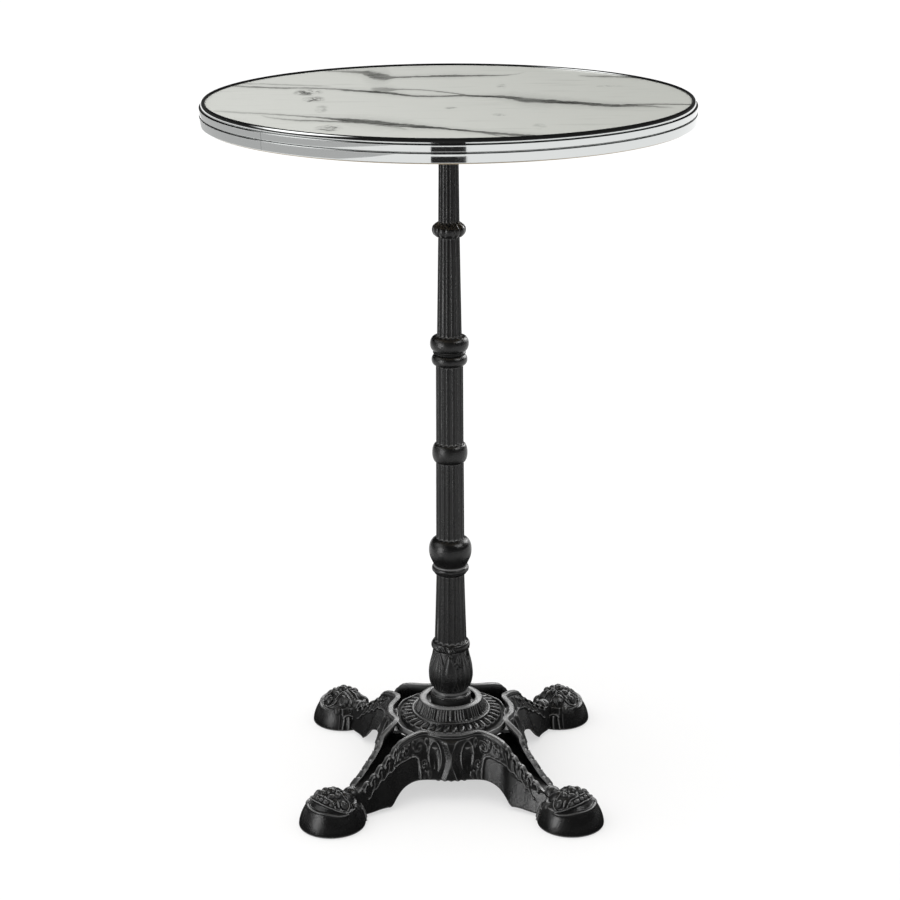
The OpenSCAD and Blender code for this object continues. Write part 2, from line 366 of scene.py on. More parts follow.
# Veins on the marble sheet, each from left to right as (x, y, half width, strength) in metres
VEINS = [
    [(-0.34, 0.140, 0.006, 0.4), (-0.249, 0.108, 0.007, 0.75), (-0.189, 0.105, 0.006, 0.6),
     (-0.139, 0.081, 0.008, 0.9), (-0.091, 0.058, 0.010, 1.0), (-0.043, 0.023, 0.007, 0.9),
     (0.03, 0.022, 0.008, 1.0), (0.08, 0.008, 0.014, 1.0), (0.108, -0.018, 0.022, 0.9),
     (0.151, -0.035, 0.017, 1.0), (0.186, -0.05, 0.014, 1.0), (0.22, -0.07, 0.013, 1.0),
     (0.267, -0.076, 0.010, 0.7), (0.312, -0.095, 0.005, 0.0)],
    [(-0.32, 0.154, 0.005, 0.4), (-0.24, 0.138, 0.005, 0.45), (-0.17, 0.122, 0.004, 0.0)],
    [(-0.115, 0.098, 0.004, 0.0), (-0.096, 0.086, 0.020, 0.6), (-0.068, 0.088, 0.006, 0.6),
     (-0.003, 0.055, 0.005, 0.7), (0.03, 0.022, 0.005, 0.8)],
    [(0.225, -0.071, 0.005, 0.8), (0.292, -0.061, 0.005, 0.8), (0.34, -0.065, 0.005, 0.8)],
    [(-0.19, 0.280, 0.006, 0.4), (-0.132, 0.263, 0.016, 0.75), (-0.108, 0.227, 0.038, 0.85),
     (-0.09, 0.211, 0.024, 0.8), (-0.07, 0.212, 0.008, 0.8), (-0.003, 0.224, 0.010, 0.9),
     (0.041, 0.228, 0.008, 0.85), (0.085, 0.229, 0.005, 0.6), (0.099, 0.236, 0.004, 0.35),
     (0.122, 0.274, 0.004, 0.0)],
    [(-0.32, -0.104, 0.005, 0.3), (-0.241, -0.134, 0.005, 0.5), (-0.166, -0.167, 0.006, 0.8),
     (-0.127, -0.19, 0.014, 1.0), (-0.083, -0.215, 0.017, 0.95), (-0.003, -0.257, 0.007, 1.0),
     (0.03, -0.276, 0.007, 0.95), (0.07, -0.300, 0.009, 0.9), (0.13, -0.323, 0.007, 0.9)],
    [(-0.255, -0.138, 0.004, 0.0), (-0.216, -0.178, 0.006, 0.5), (-0.149, -0.196, 0.006, 0.75),
     (-0.094, -0.222, 0.006, 0.6), (-0.049, -0.268, 0.006, 0.0)],
    [(0.195, 0.220, 0.005, 0.0), (0.225, 0.213, 0.008, 0.6), (0.266, 0.205, 0.008, 0.8),
     (0.29, 0.183, 0.006, 0.7)],
    [(0.03, -0.277, 0.003, 0.0), (0.05, -0.298, 0.004, 0.55), (0.075, -0.325, 0.004, 0.6),
     (0.09, -0.34, 0.003, 0.4)],
]
# Small cracked patches: (x, y, reach along x, reach along y, strength)
PATCHES = [
    (-0.202, 0.062, 0.026, 0.038, 0.85), (-0.190, -0.004, 0.020, 0.034, 0.85),
    (-0.155, -0.250, 0.022, 0.034, 0.8), (-0.173, -0.089, 0.012, 0.045, 0.4),
    (0.078, 0.125, 0.010, 0.040, 0.35), (0.069, -0.145, 0.014, 0.016, 0.4),
    (0.004, -0.087, 0.012, 0.014, 0.4), (0.233, 0.112, 0.030, 0.010, 0.3),
    (0.118, -0.242, 0.012, 0.030, 0.25),
]
# A vein's curves run from 0 to 1 over this much of the sheet, and from 0 to 1 up to this half width
SPAN = 0.72
WIDEST = 0.04
# the stone's colour at its lit left end and at its shaded right end: the change between them is painted
# falloff of light
MARBLE_LIT_LEFT = (0.80, 0.81, 0.765, 1)
MARBLE_SHADED_RIGHT = (0.64, 0.65, 0.605, 1)
VEIN_COLOUR = (0.035, 0.037, 0.032, 1)


def marble():
    """Pale grey-green stone with long slanting dark veins."""
    n = Material("marble_laminate")
    split = n.add("ShaderNodeSeparateXYZ")
    n.put(split.inputs[0], n.place)
    x, y = split.outputs[0], split.outputs[1]

    def stretched(scale_x, scale_y):
        node = n.add("ShaderNodeMapping")
        n.put(node.inputs["Vector"], n.place)
        node.inputs["Scale"].default_value = (scale_x, scale_y, 1)
        return node.outputs[0]

    def curve(along, points):
        node = n.add("ShaderNodeFloatCurve")
        node.mapping.extend = "HORIZONTAL"
        n.put(node.inputs["Value"], along)
        line = node.mapping.curves[0]
        line.points[0].location = points[0]
        line.points[1].location = points[-1]
        for place in points[1:-1]:
            line.points.new(*place)
        node.mapping.update()
        return node.outputs[0]

    slow = n.maths("MULTIPLY", n.maths("SUBTRACT", n.noise(14, detail=3), 0.5), 0.016)
    ripple = n.noise(1, detail=4, where=stretched(60, 45))
    quick = n.maths("MULTIPLY", n.maths("SUBTRACT", ripple, 0.5), 0.010)
    wavy = n.maths("ADD", y, n.maths("ADD", slow, quick))
    streaks = n.ramp(n.noise(1, detail=5, roughness=0.65, where=stretched(22, 330)), 0.33, 0.6, 0.62, 1.0)
    ragged = n.ramp(n.noise(1, detail=4, roughness=0.7, where=stretched(70, 260)), 0.3, 0.7, 0.85, 1.9)
    along = n.maths("MULTIPLY_ADD", x, 1 / SPAN, 0.5)
    dark = None
    for vein in VEINS:
        centre = curve(along, [(p[0] / SPAN + 0.5, p[1] / SPAN + 0.5) for p in vein])
        width = curve(along, [(p[0] / SPAN + 0.5, p[2] / WIDEST) for p in vein])
        strength = curve(along, [(p[0] / SPAN + 0.5, p[3]) for p in vein])
        start = n.ramp(x, vein[0][0] - 0.004, vein[0][0] + 0.006)
        stop = n.ramp(x, vein[-1][0] + 0.004, vein[-1][0] - 0.006)
        strength = n.maths("MULTIPLY", strength, n.maths("MULTIPLY", start, stop))
        line_y = n.maths("MULTIPLY_ADD", centre, SPAN, -SPAN / 2)
        away = n.maths("ABSOLUTE", n.maths("SUBTRACT", wavy, line_y))
        share = n.maths("DIVIDE", away, n.maths("MULTIPLY", n.maths("MULTIPLY", width, WIDEST), ragged))
        body = n.maths("MULTIPLY", n.ramp(share, 1.0, 0.45), strength)
        halo = n.maths("MULTIPLY", n.ramp(share, 3.2, 0.5, 0.0, 0.16), strength)
        line = n.maths("MAXIMUM", n.maths("MULTIPLY", body, streaks), halo)
        dark = line if dark is None else n.maths("MAXIMUM", dark, line)
    shatter = n.noise(1, detail=6, roughness=0.7, distortion=1.2, where=stretched(60, 45))
    cracks = n.ramp(shatter, 0.42, 0.62)
    for px, py, rx, ry, strength in PATCHES:
        dx = n.maths("MULTIPLY_ADD", x, 1 / rx, -px / rx)
        dy = n.maths("MULTIPLY_ADD", y, 1 / ry, -py / ry)
        far = n.maths("SQRT", n.maths("ADD", n.maths("MULTIPLY", dx, dx), n.maths("MULTIPLY", dy, dy)))
        spot = n.maths("MULTIPLY", n.ramp(far, 1.0, 0.35, 0.0, strength), cracks)
        dark = n.maths("MAXIMUM", dark, spot)
    faint = n.ramp(n.noise(1, detail=4, where=stretched(9, 60)), 0.55, 0.75, 0.0, 0.12)
    dark = n.maths("MAXIMUM", dark, faint)
    # painted shade: the stone is painted lighter at the left and darker towards the right, as light from the
    # left falls off, with some random tone on top
    tone_and_painted_falloff = n.maths("ADD", x, n.maths("MULTIPLY", n.noise(6, detail=4), 0.06))
    stone = n.mix(n.ramp(tone_and_painted_falloff, -0.36, 0.4), MARBLE_LIT_LEFT, MARBLE_SHADED_RIGHT)
    colour = n.mix(dark, stone, VEIN_COLOUR)
    n.shader.inputs["Specular IOR Level"].default_value = 0.2
    return n.finish(base_color=colour, roughness=n.ramp(streaks, 0.3, 1.0, 0.24, 0.2))


IRON = black_iron()
IRON_PIECES = bpy.data.collections.new("iron_pieces")
BASE_PIECES = bpy.data.collections.new("base_pieces")
CHROME = chrome()
ZINC = zinc()
NYLON = nylon()
BOARD = board()
BACKING = backing()
MARBLE = marble()


def dress(node, material):
    """A CAD node that stays in view takes a material."""
    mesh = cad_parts[node].data
    mesh.materials.clear()
    mesh.materials.append(material)


# ---------- the top ----------

dress("top_laminate", MARBLE)
dress("top_core", BOARD)
dress("backing_laminate", BACKING)

SEAM_AZ = -44
SEAM_GAP = 0.4
LIP_R = BAND_R - 2.5
LIP_IN_R = LIP_R - 7


def strip_bead(top, bottom):
    """One bead of the band in outline: tightly rounded ends and a nearly flat face that leans in below."""
    corner = 1.3
    points = arc((BAND_R - corner, top - corner), corner, 88, 4, 6)
    points += [(BAND_R, top - corner - 0.4), (BAND_R - 0.1, (top + bottom) / 2)]
    points += [(BAND_R - 0.5, bottom + corner + 0.3)]
    points += arc((BAND_R - 0.55 - corner, bottom + corner), corner, -4, -88, 6)
    return points


def edge_band():
    """The rolled chrome strip: raised lip, two beads with a groove between them, and its butt seam."""
    lip_height = 6.8
    upper_bead_height = 10.8
    lip_bottom = TABLE_Z - lip_height
    groove = lip_bottom - upper_bead_height
    dome = np.radians(np.linspace(176, 4, 19))
    middle = (LIP_IN_R + LIP_R) / 2
    rise = TABLE_Z - LAMINATE_Z
    outer = [(LIP_IN_R, LAMINATE_Z + 0.1)]
    for t in dome:
        height = rise if math.cos(t) < 0 else 5.6
        outer.append((middle + (LIP_R - middle) * math.cos(t), TABLE_Z - height + height * math.sin(t)))
    outer += [(LIP_R, lip_bottom + 0.5), (LIP_R - 0.7, lip_bottom + 0.1)]
    outer += strip_bead(lip_bottom - 0.2, groove + 0.35)
    outer += [(LIP_R - 0.7, groove + 0.2), (LIP_R - 0.7, groove - 0.2)]
    outer += strip_bead(groove - 0.35, BAND_BOTTOM_Z + 0.3)
    outer += [(LIP_R - 0.6, BAND_BOTTOM_Z)]
    wall = LIP_R - 1.25
    inner = [(min(r, wall), min(z, LAMINATE_Z + 0.04)) for r, z in outer[::-1]]
    outline = np.array(outer + inner)
    steps = 480
    half_gap = SEAM_GAP / 2 / BAND_R
    angle = math.radians(SEAM_AZ) + np.linspace(half_gap, 2 * math.pi - half_gap, steps)
    points = round_points(angle[:, None], outline[:, 0], np.tile(outline[:, 1], (steps, 1)))
    m = len(outline)
    faces = grid_faces(steps, m, close_columns=True)
    for base, flip in ((0, False), ((steps - 1) * m, True)):
        for j in range(len(outer) - 1):
            quad = (base + j, base + j + 1, base + m - 2 - j, base + m - 1 - j)
            faces.append(quad[::-1] if flip else quad)
    piece = make_object("chrome_edge_band", points, faces, CHROME, sharp_deg=40)
    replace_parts(piece, "edge_band")


edge_band()

# ---------- the column ----------

FLUTES = 16
FLUTE_DEPTH = 2.5
BORE_R = 8.5
# Outline points along a shaft, and more close together at each end of it, where the flutes stop
SHAFT_ROWS = 6
SHAFT_ENDS = 4


def fluted(flute_spans, extra=None):
    """A radius function that cuts flutes between pairs of heights and adds any other relief."""
    def shape(a, r, z):
        u = (a / (2 * math.pi) * FLUTES + 0.25) % 1
        across = np.sqrt(np.clip(1 - ((u - 0.5) / 0.41) ** 2, 0, 1))
        out = r.copy()
        for low, high in flute_spans:
            near = np.minimum(z - low, high - z)
            out -= FLUTE_DEPTH * across * smooth_step(0, 2, near)
        if extra is not None:
            out += extra(a, r, z)
        return out
    return shape


def shaft(r_low, z_low, r_high, z_high):
    """Outline points up a tapered shaft, close together near its ends."""
    z = np.concatenate([
        np.linspace(z_low, z_low + 3, SHAFT_ENDS, endpoint=False),
        np.linspace(z_low + 3, z_high - 3, SHAFT_ROWS, endpoint=False),
        np.linspace(z_high - 3, z_high, SHAFT_ENDS + 1)])
    return [(r_low + (r_high - r_low) * (x - z_low) / (z_high - z_low), x) for x in z]


def column_piece(name, node, outline, segments, flute_spans, extra=None):
    """One length of the column, from its outer outline. The bore runs from end to end of it."""
    closed = outline + [(BORE_R, outline[-1][1]), (BORE_R, outline[0][1])]
    piece = lathe(name, closed, segments, IRON, fluted(flute_spans, extra), sharp_deg=50)
    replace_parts(piece, node)


def petals(a, r, z):
    """The upper collar's petals: six wide lobes and six narrow ones, cut back at their top edge."""
    zone = smooth_step(848, 851, z) * smooth_step(871, 868, z)
    u = (a / (2 * math.pi) * 6 + 0.28) % 1
    wide = np.sqrt(np.clip(1 - ((u - 0.31) / 0.3) ** 2, 0, 1))
    narrow = np.sqrt(np.clip(1 - ((u - 0.81) / 0.19) ** 2, 0, 1))
    lobe = np.maximum(wide, narrow)
    cut_back = smooth_step(859 + 6 * lobe, 865 + 6 * lobe, z)
    return zone * (2.4 * lobe - 2.4 - 1.6 * cut_back)


def acanthus(a, r, z):
    """Leaves round the bulb, a narrow one over each joint of the wide ones, with the collar's twist
    above them and the knot in front."""
    degrees = np.degrees(a)
    t = np.clip((z - 141) / 63, 0, 1)
    zone = smooth_step(140, 144, z) * smooth_step(209, 204, z)
    relief = np.full_like(z, -1.6)
    for k in range(8):
        half, height, ribs = (20, 1.0, 1) if k % 2 == 0 else (35, -0.3, 2)
        u = (degrees - 45 * k + 6 - 14 * (t - 0.5) ** 2 + 180) % 360 - 180
        w = half * np.sin(math.pi * (0.1 + 0.86 * t)) ** 0.7
        q = np.abs(u) / w
        dome = 0.6 * np.sqrt(np.clip(1 - q ** 2, 0, 1))
        rib = 0.4 * np.cos(2 * math.pi * ribs * q) * smooth_step(0.85, 0.6, q)
        rim = 0.9 * np.exp(-((q - 0.88) / 0.1) ** 2)
        relief = np.maximum(relief, np.where(q < 1, height - 0.8 + dome + rib + rim, -1.6))
    left = smooth_step(-1, 1, 50 * np.cos(a + math.radians(75)))
    twist = bump(z, 212, 7) * left * (0.9 * np.cos(20 * a + (z - 212) * 0.5) - 0.4)
    turn = (degrees + 180) % 360 - 180
    knot = 3.0 * np.exp(-((turn + 4) / 11) ** 2 - ((z - 208.5) / 4.2) ** 2)
    tail = 1.6 * np.exp(-((turn + 4 - 1.9 * (203 - z)) / 6) ** 2)
    tail = tail * smooth_step(180, 186, z) * smooth_step(206, 202, z)
    return zone * relief + twist + knot + tail


def upper_column():
    """Double ring's upper half, tapered shaft, petalled collar and neck."""
    outline = [(24.0, UPPER_JOINT_Z), (24.4, UPPER_JOINT_Z + 0.6), (24.0, UPPER_JOINT_Z + 1.5)]
    outline += [(21.6, UPPER_JOINT_Z + 2.2)]
    outline += swell(21.4, 28.5, UPPER_JOINT_Z + 2.6, 701.5, 26)
    outline += shaft(18.2, 702, 15.6, 849)
    outline += swell(16.3, 24.6, 849.6, 870, 26)
    outline += shaft(15.4, 870.5, 14.3, 968)
    outline += [(14, 971), (14, COLUMN_TOP_Z)]
    column_piece("upper_column", "column_upper", outline, 352, [(701.5, 849.5), (870, 968)], petals)


def middle_column():
    """Ball, shaft, ring, shaft and the double ring's lower half."""
    ball = [(25.8, LOWER_JOINT_Z + 0.8), (27.6, 350), (30.9, 358), (32.3, 367), (31.2, 376.5), (27.4, 383.5),
            (22.4, 386.8)]
    outline = [(25.2, LOWER_JOINT_Z), *spline(ball, 30)]
    outline += shaft(21.3, 387, 20.8, 508)
    outline += swell(21.0, 26.4, 508.6, 536.5, 26)
    outline += shaft(20.5, 537, 20.1, 657.6)
    outline += swell(20.2, 26.4, 658, 674.6, 24)
    outline += [(20.6, 675), (20.5, UPPER_JOINT_Z)]
    column_piece("middle_column", "column_middle", outline, 352, [(386.5, 508.5), (536.5, 658)])


def lower_column():
    """Foot flange, leafy bulb, twisted collar, shaft and the ring below the ball."""
    bulb = [(26, 139), (28.6, 144), (30.9, 150), (32.4, 157), (32.95, 164), (32.3, 174), (30.3, 184),
            (27.6, 195), (25.9, 204)]
    outline = [(31, SEAT_Z), (31, 130)] + arc((29.6, 130.6), 1.4, 0, 90, 5)
    outline += [(29, 132.4), (27.8, 134.6), (26.2, 136.4), *spline(bulb, 90)]
    outline += swell(25.6, 29.4, 205, 218.5, 24, 0.85)
    # the shaft's taper changes at 285, where it has no ends
    outline += shaft(24.5, 219, 22.4, 285)[:-SHAFT_ENDS - 1] + shaft(22.4, 285, 21.25, 329)[SHAFT_ENDS:]
    outline += [(21.6, 329.6), (24.4, 331)] + swell(26.0, 28.1, 334.4, 341.6, 10, 0.8)
    outline += [(25.0, 342.6), (24.8, LOWER_JOINT_Z - 0.8), (25.4, LOWER_JOINT_Z)]
    column_piece("lower_column", "column_lower", outline, 432, [(218.5, 329.5)], acanthus)


upper_column()
middle_column()
lower_column()

# ---------- the base ----------

# Half of a curved plate's outer face, from the middle of the side out to the foot: points along its
# top edge, the line where the face would meet the lowest level, and the height its lower edge is cut at
PLATE_TOP = [
    (0, -96.5, 104), (14, -95.5, 104), (26, -91, 104.5), (36, -86.5, 105), (46, -87, 105), (58, -93.5, 103),
    (68, -100, 100), (78, -107, 95), (86, -110.5, 85), (97, -118.5, 73), (109, -128.5, 62), (120, -138, 51),
    (136, -153, 40), (150, -165, 34),
]
PLATE_FOOT = [
    (0, -125.5), (26, -127.5), (50, -130.5), (61, -134), (71, -137.5), (80, -140.5), (90, -144.3),
    (104, -151), (119, -158.5), (134, -167), (150, -175),
]
PLATE_ARCH = [
    (0, 38), (14, 38.5), (26, 38.5), (38, 38.5), (50, 38.2), (61, 36), (71, 30.5), (79.5, 21), (85.5, 11.5),
    (89.5, 8), (95, 8.2), (104, 8), (119, 6.5), (134, 6.5), (150, 6.5),
]
PLATE_FLOOR = 6.5
PLATE_T = 6.5

# Ornament on a half plate. A place is (distance along the plate from its middle, distance down from its
# top edge), a curl has the first of the two only, and a leaf has both its ends and its height
CURL_PLACES = [100, 115.5, 130, 144, 156]
LEAVES = [
    ((38, 9), (37, 24), 1.6),
    ((33, 20), (35, 34), 1.3),
    ((61, 9), (60, 22), 1.6),
    ((66, 12), (84, 17), 1.4),
    ((80, 30), (88, 22), 1.3),
    ((62, 30), (52, 42), 1.4),
    ((46, 60), (40, 48), 1.3),
    ((84, 12), (92, 22), 1.5),
]
BORDER = [(47, 71), (47.6, 62), (48.5, 50), (50.5, 40), (55, 35), (62.5, 32.7), (75, 32), (90, 29.5),
          (107, 25.4), (119, 22.5), (127, 21.6), (134, 21.4), (144, 22), (152, 25)]
STEMS = [
    [(78, 12), (80, 20), (76, 27), (70, 29)],
    [(95, 11), (98, 19), (103, 28)],
    [(112, 10), (112, 18), (117, 26)],
    [(127, 9), (126, 16), (131, 23)],
    [(141, 9), (140, 15), (144, 22)],
]


def mirrored(points):
    """A half edge joined with its mirror image across the middle."""
    half = np.array(points, float)
    other = half[1:][::-1].copy()
    other[:, 0] *= -1
    return np.vstack([other, half])


def by_x(half_line, x):
    """Points at given x values on the curve through a half edge and its mirror image."""
    line = spline(mirrored(half_line), 2400)
    return np.stack([x] + [np.interp(x, line[:, 0], column) for column in line[:, 1:].T], -1)


def scroll(x, y, cx, cy, radius, turns, start_deg, width, height, side=1):
    """A raised spiral line that winds in from its outer end to its eye."""
    t = np.linspace(0, 1, int(26 * turns))
    ang = math.radians(start_deg) + side * t * turns * 2 * math.pi
    rr = radius * (1 - 0.82 * t)
    px = cx + rr * np.cos(ang)
    py = cy + rr * np.sin(ang)
    near = line_distance(x, y, list(zip(px, py)))
    return height * np.exp(-(near / width) ** 2)


def plate_relief(x, d, height):
    """How far the ornament stands out of a plate, x being the distance along it and d the distance
    down from its top edge. height is the plate's own height there."""
    a = np.abs(x)
    out = np.zeros_like(x)
    to_bottom = height - d
    # ribbon under the top edge, with a fine groove below it
    ribbon = smooth_step(96, 90, a)
    out += ribbon * (1.3 * smooth_step(6.2, 5.0, d) - 0.9 * bump(d, 7.2, 1.8))
    # waisted rib in the middle
    crest = 8.5 * np.clip(np.abs(d - 38) / 32, 0, 1) ** 1.6
    flank = np.clip((crest + 8.5 - a) / 8.5, 0, 1)
    out += (4.6 * flank - 1.2 * smooth_step(0.9, 1, flank) * smooth_step(1, 5, crest)) * smooth_step(7, 14, d)
    # spoon-shaped leaf on each side of the rib
    rho = np.hypot((a - 24.5) / 9.5, (d - 36) / 24)
    out += 1.2 * np.exp(-((rho - 1) / 0.13) ** 2) * smooth_step(56, 40, d) - 2.6 * np.clip(1 - rho ** 2, 0, 1)
    out += 1.0 * bump(a, 24.5, 3.5) * smooth_step(1.0, 0.6, rho) * smooth_step(30, 60, d)
    # scrolls and leaf sprays between the spoon leaf and the border
    out += scroll(a, d, 50, 23, 11, 1.1, 200, 2.3, 1.2)
    out += scroll(a, d, 73, 21, 8, 1.0, 20, 2.0, 1.0, side=-1)
    out += scroll(a, d, 42, 47, 7, 1.0, 90, 2.0, 1.0)
    for (x0, d0), (x1, d1), lift in LEAVES:
        run, drop = x1 - x0, d1 - d0
        share = np.clip(((a - x0) * run + (d - d0) * drop) / (run ** 2 + drop ** 2), 0, 1)
        leaf = line_distance(a, d, [(x0, d0), (x1, d1)]) / (0.6 + 3.2 * np.sin(math.pi * share ** 0.7))
        out += lift * np.clip(1 - leaf ** 2, 0, 1) ** 0.7
    for stem in STEMS:
        out += 1.3 * np.exp(-(line_distance(a, d, stem) / 2.0) ** 2)
    # leaf tips along the bottom edge of the middle
    for place in (33, 41, 49):
        rho = np.hypot((a - place) / 4.6, (to_bottom - 8) / 7.5)
        out += 1.9 * np.clip(1 - rho ** 2, 0, 1) ** 0.7
    # smooth panel on the leg, sunk inside a raised border line
    edge_d = np.interp(a, *zip(*BORDER[3:]))
    inside = smooth_step(-1.5, 1.5, d - edge_d) * smooth_step(46, 49, a - 0.1 * (72 - d))
    inside = inside * smooth_step(162, 150, a)
    out *= 1 - inside
    out -= 0.8 * inside
    out += 1.9 * np.exp(-(line_distance(a, d, BORDER) / 1.5) ** 2)
    # curled leaf tips along the top of the leg: hooked rings with a hollow under each
    for k, place in enumerate(CURL_PLACES):
        size = 5.2 - 0.25 * k
        off_x = (a - place) + 0.3 * (d - 6)
        off_d = d - 5.5
        rho = np.hypot(off_x / size, off_d / (size + 0.8))
        hook = smooth_step(size * 0.9, -size * 0.1, off_d - 0.6 * off_x)
        out += 3.4 * np.exp(-((rho - 0.95) / 0.36) ** 2) * hook - 2.4 * bump(rho, 0, 0.8)
    return out


def blended(first, last, share):
    """Points at the given shares of the way from each first point to its last one."""
    share = share[None, :, None]
    return first[:, None, :] * (1 - share) + last[:, None, :] * share


def curved_plate(index):
    """One side of the base: a curved wall with its ornament, from paw to paw."""
    columns = 401
    rows = 84
    x = np.linspace(-PLATE_TOP[-1][0], PLATE_TOP[-1][0], columns)
    top = by_x(PLATE_TOP, x)
    arch_z = by_x(PLATE_ARCH, x)[:, 1]
    foot = np.column_stack([by_x(PLATE_FOOT, x), np.full(columns, PLATE_FLOOR)])
    low = top + (foot - top) * ((top[:, 2] - arch_z) / (top[:, 2] - PLATE_FLOOR))[:, None]
    middle = (top + low) / 2
    along = np.concatenate([[0], np.cumsum(np.linalg.norm(np.diff(middle, axis=0), axis=1))])
    along -= along[-1] / 2
    a = np.abs(along)
    fall = (low - top) / np.linalg.norm(low - top, axis=1)[:, None]
    crown = sum(2.8 * bump(a, place - 1.5, 6.5) for place in CURL_PLACES) - 1.2 * smooth_step(92, 97, a)
    scallops = sum(1.3 * bump(a, place, 4.5) for place in (0, 10, 20))
    top -= fall * crown[:, None]
    low += fall * scallops[:, None]
    height = np.linalg.norm(top - low, axis=1)
    v = np.linspace(0, 1, rows)
    outer = blended(top, low, v)
    tangent = np.gradient(middle, axis=0)
    tangent[:, 2] = 0
    tangent /= np.linalg.norm(tangent, axis=1)[:, None]
    normal = np.cross(fall, tangent)
    normal /= np.linalg.norm(normal, axis=1)[:, None]
    normal *= np.where(normal[:, 1] > 0, -1, 1)[:, None]
    d = v[None, :] * height[:, None]
    relief = plate_relief(np.repeat(along[:, None], rows, 1), d, np.repeat(height[:, None], rows, 1))
    rounding = 1.2 * (np.exp(-d / 0.9) + np.exp(-(height[:, None] - d) / 0.9))
    face = outer + normal[:, None, :] * (relief - rounding)[:, :, None]
    inward = -np.stack([-tangent[:, 1], tangent[:, 0], np.zeros(columns)], -1)
    inward *= np.where(inward[:, 1] < 0, -1, 1)[:, None]
    inner = blended(top + inward * PLATE_T, low + inward * PLATE_T, np.linspace(1, 0, 8))
    # small bevels at the inner wall's foot and rim
    inner[:, 0, 2] += 0.3
    inner[:, -1, 2] -= 0.7
    rim_out = (top + inward)[:, None, :]
    rim_mid = (top + inward * (PLATE_T - 1))[:, None, :]
    section = np.concatenate([rim_out, face, inner, rim_mid], axis=1)
    points = turn_about_z(section.reshape(-1, 3), 90 * index)
    faces = swept_faces(columns, section.shape[1])
    return make_object(f"base_plate_{index}", points, faces, IRON, sharp_deg=60)


def cup_ribs(a, z):
    """Relief on the cup's wall: twelve broad ribs with four thin ones between each two."""
    zone = smooth_step(105.5, 107, z) * smooth_step(122.6, 121, z)
    u = (a / (2 * math.pi) * 12) % 1
    ribs = 1.7 * np.exp(-(((u + 0.5) % 1 - 0.5) / 0.075) ** 2)
    for place in (0.26, 0.42, 0.58, 0.74):
        ribs += 1.4 * np.exp(-((u - place) / 0.036) ** 2)
    return zone * (ribs - 1.1)


def tongue_lift(a, r):
    """Height that the ring's tongues add to its sloping top."""
    t = np.clip((r - 61.5) / 14, 0, 1)
    u = (a / (2 * math.pi) * 36 + 0.2 * t) % 1
    width = 0.40 * np.clip(np.sin(math.pi * (0.2 + 0.72 * t)), 0.02, 1) ** 0.6
    tongue = np.sqrt(np.clip(1 - ((u - 0.5) / width) ** 2, 0, 1))
    return (4.0 * tongue * (0.75 + 0.25 * t) - 2.6) * smooth_step(61, 62.5, r) * smooth_step(77, 75.5, r)


def from_side(a):
    """Degrees round from the middle of the nearest side of the base, 45 at its corners."""
    turn = np.degrees(a) % 90
    return np.minimum(turn, 90 - turn)


def hub():
    """The cup that the column stands in, with its ribbed wall, tongued ring and thin outer rim."""
    segments = 900
    # the column's seat, the cup's lip and its flaring wall
    outline = [(7, SEAT_Z), (37.7, SEAT_Z), (37.7, CUP_Z - 0.8), (38.5, CUP_Z), (47.2, CUP_Z)]
    outline += [(48, CUP_Z - 0.8)]
    outline += [(48.3 + 7.2 * t ** 1.2, 122 - 16.6 * t) for t in np.linspace(0, 1, 22)]
    # a bead round the cup's foot, and the sloping ring that carries the tongues
    outline += [(56, 104.6), (56.8, 104.4)] + arc((59, 103.7), 2.0, 150, 10, 9)
    outline += [(61.4 + 15 * t, 103 - 3.6 * t ** 1.5) for t in np.linspace(0, 1, 30)]
    outline += [(77, 97), (77.6, 91.5), (79, 90.5)]
    rim = slice(len(outline), len(outline) + 6)
    outline += [(81, 90.5), (81.6, 93.6), (82.4, 94.6), (83.4, 94.6), (84.2, 93.6), (84.4, 88)]
    # the underside, with the disc that ties the plates together and the well for the rod's nut
    outline += [(77, 87), (56, 97), (47, 99), (47, 84)]
    disc = slice(len(outline), len(outline) + 2)
    outline += [(101, 84), (101, 79), (40, 79), (40, 101), (7, 101)]
    a, r, z = round_grid(outline, segments)
    wall = (r > 48) & (r < 55.6) & (z > 104)
    lift = tongue_lift(a, r) * (z > 98)
    r = r + np.where(wall, cup_ribs(a, z), 0)
    # the rim is a square with clipped corners, and the disc reaches out to the middle of each plate
    side = from_side(a)
    r[:, rim] += np.interp(side[:, rim], [0, 33, 37, 45], [0, 6, 5.6, 4.6])
    r[:, disc] = np.interp(side[:, disc], [0, 22, 28, 45], [101, 101, 84, 84])
    faces = grid_faces(segments, len(outline), close_rows=True, close_columns=True)
    return make_object("base_hub", round_points(a, r, z + lift), faces, IRON, sharp_deg=50)


def leg_web(index):
    """The flat iron inside a leg that ties the hub to the paw."""
    # distance from the table's middle line, and half width there
    stations = [(84, 42), (104, 37), (130, 30), (170, 20.5), (212, 12)]
    # side, how far in from it, how far down: bevelled above and square below
    section = [(-1, 0, 0.8), (-1, 1.2, 0), (1, 1.2, 0), (1, 0, 0.8), (1, 0, PLATE_T), (-1, 0, PLATE_T)]
    steps = 24
    rings = []
    for s, half in spline(stations, steps):
        # its top falls with the leg
        z = np.interp(s, [84, 100, 205], [80, 66, 38])
        rings += [(s, side * (half - inset), z - drop) for side, inset, drop in section]
    points = turn_about_z(np.array(rings), 90 * index - 45)
    faces = swept_faces(steps, len(section))
    return make_object(f"base_leg_web_{index}", points, faces, IRON, sharp_deg=40)


# ---------- the paws ----------

PAW_H = 57.5
